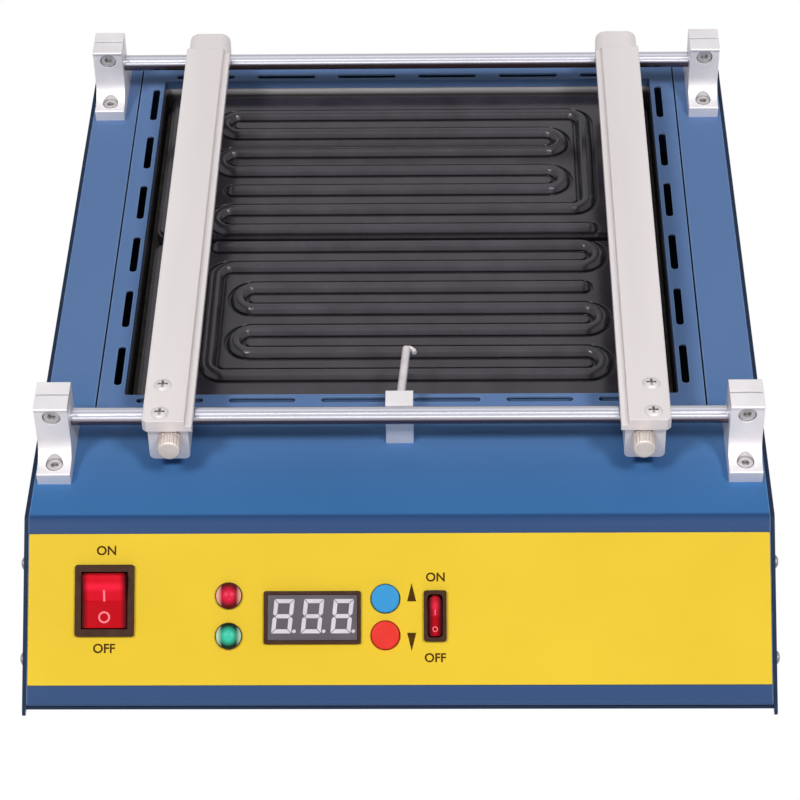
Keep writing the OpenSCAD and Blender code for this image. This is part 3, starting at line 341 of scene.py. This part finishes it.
# The rails: hard-chromed round bar, painted dark on its lower side as the reflection of the shaded deck. They
# stand in four split supports of blasted aluminium, each with a clamp screw through its head and two screws
# into the deck.
# A block of the same aluminium behind the front rail holds the bent steel sensor.
rail_chrome = finish("rail_chrome", tone(172, 172, 182), tone(186, 186, 196), (0.19, 0.23), 70, metal=0.85,
                     bump=0.001, stretch=(0.1, 1, 1))
rail_low, rail_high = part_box("front_rail")
rail_z = (rail_low.z + rail_high.z) / 2
# Painted reflection: the rail's lower side is darker, as the shaded deck seen in it.
fade_along(rail_chrome, tone(112, 94, 98), "Z", rail_z + 0.0016, rail_z + 0.0004)
wear(rail_chrome, "front_rail", "rear_rail")
blasted = finish("blasted_aluminium", tone(222, 218, 221), tone(236, 232, 235), (0.42, 0.55), 50, metal=0.45,
                 bump=0.12, skin=2600, edge=0.0005)
wear(blasted, "support_front_left", "support_front_right", "support_rear_left", "support_rear_right",
     "sensor_block", "heat_sink")


def plated(name, dark, light, gloss, metal):
    """Plated or bare steel of screws and small turned pieces."""
    return finish(name, dark, light, gloss, 160, metal=metal, edge=0.0002)


zinc = plated("zinc_plate", tone(168, 168, 172), tone(206, 206, 210), (0.18, 0.34), 1.0)
wear(zinc, "support_nuts", "foot_screws", "inlet_screws", "inlet_pins", "control_posts", "power_posts")
dull_steel = plated("dull_steel", tone(180, 176, 176), tone(202, 198, 198), (0.30, 0.44), 0.5)
# Painted shade in the screws' sockets and recesses.
shade_in_hollows(dull_steel, tone(70, 64, 64), 0.0018, 0.75, 0.35, 0.8)
wear(dull_steel, "support_foot_screws", "support_clamp_screws")
grey_zinc = plated("grey_zinc", tone(126, 124, 126), tone(150, 148, 150), (0.28, 0.42), 0.7)
wear(grey_zinc, "case_screws")
probe_steel = plated("probe_steel", tone(206, 199, 201), tone(222, 215, 217), (0.28, 0.40), 0.3)
wear(probe_steel, "sensor_probe")

# The clamp bars: drawn aluminium with a board ledge, anodised clear, on blocks that slide along the rails.
# Raised-head screws hold each bar to its blocks, and a knurled thumb screw, nickel on brass, locks each front
# block to its rail.
drawn = finish("drawn_aluminium", tone(215, 208, 208), tone(229, 222, 222), (0.42, 0.54), 30, metal=0.5,
               bump=0.05, skin=2400, stretch=(1, 0.08, 1), edge=0.0004)
nickel = finish("nickel_brass", tone(206, 195, 188), tone(222, 212, 206), (0.42, 0.55), 120, metal=0.45,
                edge=0.0006)
pale_steel = plated("pale_steel", tone(206, 201, 201), tone(224, 219, 219), (0.30, 0.44), 0.4)
# Painted shade in the crosses of the bar screws.
shade_in_hollows(pale_steel, tone(110, 103, 103), 0.0018, 0.70, 0.35, 0.7)
for side in ("left", "right"):
    wear(drawn, f"clamp_bar_{side}", f"slider_front_{side}", f"slider_rear_{side}")
    wear(pale_steel, f"bar_screws_{side}")
    wear(nickel, f"thumb_screw_{side}")

# The switches: moulded housings in brown-black, and red rockers of clear-tinted plastic. Each rocker is painted
# with a highlight band on its raised half, with shade on its pressed half and with shadow along its side walls.
# A bar and a ring are printed on each rocker in pink.
switch_black = finish("switch_black", tone(58, 35, 24), tone(70, 46, 33), (0.32, 0.45), 200, bump=0.04,
                      edge=0.0002, Specular_IOR_Level=0.07)
wear(switch_black, "power_switch", "heat_switch")
power_x, power_down = -0.129, 0.0368
heat_x, heat_down = 0.016, 0.0438
crease_rise = 0.0025
for rocker, red, down, wall in (("power_rocker", (206, 14, 34), power_down, 0.0036),
                                ("heat_rocker", (196, 26, 44), heat_down, 0.0033)):
    rocker_red = finish(rocker + "_red", tone(*red), tone(*[v + 10 for v in red]), (0.22, 0.30), 80, bump=0.01,
                        edge=0.0003, Specular_IOR_Level=0.06)
    low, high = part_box(rocker)
    half = (high.x - low.x) / 2
    crease_z = (on_panel @ Vector((0, -down, crease_rise))).z
    highlight_z = crease_z + 0.55 * (high.z - crease_z)
    bright = tone(red[0] + 36, red[1] + 20, red[2] + 28)
    # Painted highlight: a paler band across the raised half.
    fade_beside(rocker_red, bright, "Z", highlight_z, 0.0022, 0.0006, 0.8)
    # Painted shade: the pressed half below the crease is darker.
    fade_along(rocker_red, tone(red[0] - 22, 0, 18), "Z", crease_z + 0.0002, crease_z - 0.0002, 0.9)
    # Painted shadow along the rocker's side walls.
    fade_beside(rocker_red, tone(66, 2, 9), "X", (low.x + high.x) / 2, half - wall, half - 0.0012)
    wear(rocker_red, rocker)
mark_pink = finish("mark_pink", tone(246, 116, 130), tone(252, 130, 142), (0.4, 0.5), 200,
                   Specular_IOR_Level=0.2)
rocker_tilt = Matrix.Rotation(math.radians(9), 4, "X")
rocker_dip = 0.002
paint_t = 0.00008


def rocker_signs(name, body, across, down, reach, size):
    """A bar on the raised half of a rocker and a ring on the pressed half, in thick paint."""
    axle = on_panel @ Matrix.Translation((across, -down, film_t))
    pivot = axle @ rocker_tilt @ Matrix.Translation((0, 0, rocker_dip))
    signs = bmesh.new()
    side, inner, outer = size * 0.15, size * 0.7, size
    corners = ((inner, 0, 0), (outer, 0, 0), (outer, 0, paint_t), (inner, 0, paint_t))
    rim = [signs.verts.new(corner) for corner in corners]
    loop = rim + [signs.edges.new((rim[i - 1], rim[i])) for i in range(4)]
    bmesh.ops.spin(signs, geom=loop, cent=(0, 0, 0), axis=(0, 0, 1), angle=math.tau, steps=40,
                   use_merge=True)
    low_end = pivot @ rocker_tilt.inverted() @ Matrix.Translation((0, -reach, 0))
    bmesh.ops.transform(signs, matrix=low_end, verts=signs.verts)
    stroke = [(-side, -size), (side, -size), (side, size), (-side, size)]
    prism(signs, stroke, 0, paint_t, pivot @ rocker_tilt @ Matrix.Translation((0, 0.36 * reach, 0)))
    solid(name, signs, mark_pink, body)


rocker_signs("rocker_marks", "power_rocker_body", power_x, power_down, 0.0070, 0.0026)
rocker_signs("heat_marks", "heat_rocker_body", heat_x, heat_down, 0.0055, 0.0012)

# The pilot lamps: tinted domes in dark threaded bodies. Each dome is painted bright in the middle as the glow
# of the lamp behind, dark round its foot as a dark reflection, and pale at its two sides as highlights.


def lens(node, core, rim, glint):
    """A tinted dome, painted bright in the middle as glow, dark round its foot as reflection and pale at its
    sides as highlights.
    """
    made = finish(node, rim, core, (0.30, 0.38), 40, bump=0.005, Specular_IOR_Level=0.15)
    low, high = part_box(node)
    half = (high.x - low.x) / 2
    turn = node_of(made, "MAPPING")
    turn.inputs["Location"].default_value = -(low + high) / 2 / half
    turn.inputs["Scale"].default_value = (1 / half, 1 / half, 1 / half)
    glow = made.node_tree.nodes.new("ShaderNodeTexGradient")
    glow.gradient_type = "SPHERICAL"
    made.node_tree.links.new(turn.outputs["Vector"], glow.inputs["Vector"])
    ramp = node_of(made, "VALTORGB")
    ramp.color_ramp.elements[0].position = 0.16
    ramp.color_ramp.elements[1].position = 0.46
    made.node_tree.links.new(glow.outputs["Fac"], ramp.inputs["Fac"])
    glint_x = (low.x + high.x) / 2 + 0.0003
    fade_beside(made, glint, "X", glint_x, half - 0.0024, half - 0.0006)
    wear(made, node)


lens("lamp_lens_red", tone(216, 26, 62), tone(92, 3, 6), tone(244, 176, 164))
lens("lamp_lens_green", tone(58, 192, 158), tone(5, 38, 16), tone(184, 220, 194))
wear(switch_black, "lamp_bodies")

# The display: a dark frame round a grey module, cast in resin, with three leaning digits.
# Their pale segments are all to be seen, so each shows an eight and its point. The segments are mitred at the
# corners of a digit and pointed in its middle.
wear(switch_black, "display_bezel")
display_grey = finish("display_grey", tone(88, 81, 87), tone(100, 93, 99), (0.25, 0.32), 60, bump=0.01,
                      Specular_IOR_Level=0.12)
wear(display_grey, "display_module")
segment_pale = finish("segment_pale", tone(196, 191, 199), tone(212, 207, 215), (0.3, 0.4), 90,
                      Specular_IOR_Level=0.2)
display_x, display_down, face_z = -0.0377, 0.0438, 0.0015
digit_h, digit_w, digit_pitch = 0.0150, 0.0088, 0.0130
stroke, air, lean = 0.0018, 0.0002, 0.105
point_r, point_out = 0.0008, 0.0021
half_h, half_w, half_stroke = (digit_h - stroke) / 2, (digit_w - stroke) / 2, stroke / 2
slant = Matrix(((1, lean, 0, 0), (0, 1, 0, 0), (0, 0, 1, 0), (0, 0, 0, 1)))


def segment_end(reach, corner):
    """One end of a segment, from its inner edge to its outer: mitred at a corner of the digit, else pointed."""
    inner = (reach - half_stroke, -half_stroke)
    if corner:
        return [inner, (reach + half_stroke, half_stroke)]
    return [inner, (reach, 0), (reach - half_stroke, half_stroke)]


segments = [(0, half_h, half_w, 0, True, True), (0, 0, half_w, 0, False, False),
            (0, -half_h, half_w, 180, True, True)]
for i in (-1, 1):
    segments += [(half_w * i, half_h / 2 * k, half_h / 2, -90 * i, i != k, i == k) for k in (-1, 1)]
turns = [a * math.tau / 12 for a in range(12)]
point = [(point_r * math.cos(turn), point_r * math.sin(turn)) for turn in turns]
digits = bmesh.new()
for place in (-1, 0, 1):
    digit_x = display_x + place * digit_pitch
    digit = on_panel @ Matrix.Translation((digit_x, -display_down, 0)) @ slant
    for x, y, run, angle, far_corner, near_corner in segments:
        near = [(-u, v) for u, v in segment_end(run - air, near_corner)]
        bar = segment_end(run - air, far_corner) + near[::-1]
        turn = Matrix.Rotation(math.radians(angle), 4, "Z")
        prism(digits, bar, face_z, face_z + ink_t, digit @ Matrix.Translation((x, y, 0)) @ turn)
    point_place = digit @ Matrix.Translation((half_w + point_out, -half_h, 0))
    prism(digits, point, face_z, face_z + ink_t, point_place)
solid("display_segments", digits, segment_pale, "body")

# The push buttons: moulded caps with a softly crowned face, blue above and red below.
# Each stands in a round hole of the film and the slope, and presses a switch on the board behind it.
for name, dark, light, button in (("button_blue", tone(42, 140, 198), tone(51, 148, 205), "button_up"),
                                  ("button_red", tone(218, 42, 30), tone(226, 50, 40), "button_down")):
    wear(finish(name, dark, light, (0.30, 0.40), 90, bump=0.02, edge=0.0005, Specular_IOR_Level=0.18), button)

# The inside: control and power boards on posts, a transformer, triacs on a heat sink, and a terminal block.
# The boards have green solder mask over their copper, and the transformer's core is stacked dark steel.
solder_mask = finish("solder_mask", tone(24, 84, 46), tone(32, 98, 56), (0.3, 0.4), 120)
wear(solder_mask, "control_board", "power_board")
core_steel = finish("core_steel", tone(74, 70, 66), tone(98, 92, 86), (0.5, 0.65), 90, metal=0.6)
wear(core_steel, "transformer")
wear(switch_black, "tact_switches", "triacs", "terminal_block")

# The mains inlet: a black moulded socket with three flat pins, low on the rear wall.
# Two flush screws hold its flange to the wall.
inlet_black = finish("inlet_black", tone(24, 24, 26), tone(36, 36, 38), (0.35, 0.5), 140, edge=0.0003,
                     Specular_IOR_Level=0.15)
wear(inlet_black, "mains_inlet")

# The feet: four short ones of moulded black rubber, slightly tapered, under the tray's corners.
# Each is held by a screw that goes up into the tray's floor.
black_rubber = finish("black_rubber", tone(26, 26, 27), tone(38, 38, 39), (0.7, 0.85), 150, bump=0.15,
                      skin=1200)
wear(black_rubber, "rubber_feet")

# The setting: a pale floor and a white surround, as in a product photograph.
# Two soft lamps stand in front at the sides, with weak ones low in front, overhead and behind.
ground = bmesh.new()
bmesh.ops.create_grid(ground, x_segments=1, y_segments=1, size=4)
floor_mesh = bpy.data.meshes.new("floor")
ground.to_mesh(floor_mesh)
ground.free()
floor = bpy.data.objects.new("floor", floor_mesh)
scene.collection.objects.link(floor)
floor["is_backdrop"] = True
paper = bpy.data.materials.new("white_paper")
paper.use_nodes = True
floor_mesh.materials.append(paper)
tree = paper.node_tree
tree.nodes["Principled BSDF"].inputs["Base Color"].default_value = (0.9, 0.9, 0.9, 1)
tree.nodes["Principled BSDF"].inputs["Roughness"].default_value = 0.9


def plain_white(tree, lit, target):
    """Camera, glossy and transmission rays see plain white; other rays see the lit shader."""
    ray = tree.nodes.new("ShaderNodeLightPath")
    either = tree.nodes.new("ShaderNodeMath")
    either.operation = "MAXIMUM"
    tree.links.new(ray.outputs["Is Camera Ray"], either.inputs[0])
    tree.links.new(ray.outputs["Is Glossy Ray"], either.inputs[1])
    every = tree.nodes.new("ShaderNodeMath")
    every.operation = "MAXIMUM"
    tree.links.new(either.outputs[0], every.inputs[0])
    tree.links.new(ray.outputs["Is Transmission Ray"], every.inputs[1])
    on_surface = target.node.type == "OUTPUT_MATERIAL"
    white = tree.nodes.new("ShaderNodeEmission" if on_surface else "ShaderNodeBackground")
    white.inputs["Color"].default_value = (1, 1, 1, 1)
    white.inputs["Strength"].default_value = 1.0
    mix = tree.nodes.new("ShaderNodeMixShader")
    tree.links.new(every.outputs[0], mix.inputs["Fac"])
    tree.links.new(lit, mix.inputs[1])
    tree.links.new(white.outputs[0], mix.inputs[2])
    tree.links.new(mix.outputs[0], target)


plain_white(tree, tree.nodes["Principled BSDF"].outputs["BSDF"],
            tree.nodes["Material Output"].inputs["Surface"])
world = bpy.data.worlds.new("surround")
scene.world = world
world.use_nodes = True
tree = world.node_tree
tree.nodes["Background"].inputs["Color"].default_value = (1, 1, 1, 1)
tree.nodes["Background"].inputs["Strength"].default_value = 0.1
plain_white(tree, tree.nodes["Background"].outputs["Background"],
            tree.nodes["World Output"].inputs["Surface"])


def softbox(name, place, aim, width, height, power):
    """An area lamp turned towards a point."""
    lamp = bpy.data.lights.new(name, "AREA")
    lamp.shape = "RECTANGLE"
    lamp.size = width
    lamp.size_y = height
    lamp.energy = power
    held = bpy.data.objects.new(name, lamp)
    held.location = place
    held.rotation_euler = (Vector(aim) - Vector(place)).to_track_quat("-Z", "Y").to_euler()
    scene.collection.objects.link(held)


case_middle = (0, 0, 0.05)
softbox("left_lamp", (-1.35, -1.95, 3.1), case_middle, 0.65, 0.65, 62)
softbox("right_lamp", (1.35, -1.95, 3.1), case_middle, 0.65, 0.65, 62)
softbox("front_lamp", (0, -2.0, 0.85), (0, 0, 0.08), 1.2, 0.4, 4)
softbox("strip_lamp", (0, -0.72, 1.75), case_middle, 1.1, 0.2, 2)
softbox("back_lamp", (0, 0.8, 1.9), case_middle, 1.0, 1.0, 2)

# The camera: where the photograph was taken from, above the front of the case and looking down on it.
# Its place, turn and focal length were found from the case's edges in the photograph.
focal_px, picture_px = 2761.96, 800
eye = Vector((0.0263, fold_y - 0.8715, deck_z + 0.847))
yaw, pitch, roll = math.radians(-1.6095), math.radians(41.762), math.radians(1.2963)
forward = Vector((math.sin(yaw) * math.cos(pitch), math.cos(yaw) * math.cos(pitch), -math.sin(pitch)))
level = Vector((math.cos(yaw), -math.sin(yaw), 0))
below = forward.cross(level)
right = level * math.cos(roll) + below * math.sin(roll)
down = below * math.cos(roll) - level * math.sin(roll)
optics = bpy.data.cameras.new("camera")
optics.sensor_width = 36
optics.lens = focal_px / picture_px * optics.sensor_width
camera = bpy.data.objects.new("camera", optics)
camera.matrix_world = Matrix.Translation(eye) @ Matrix((right, -down, -forward)).transposed().to_4x4()
scene.collection.objects.link(camera)
scene.camera = camera

low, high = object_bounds()
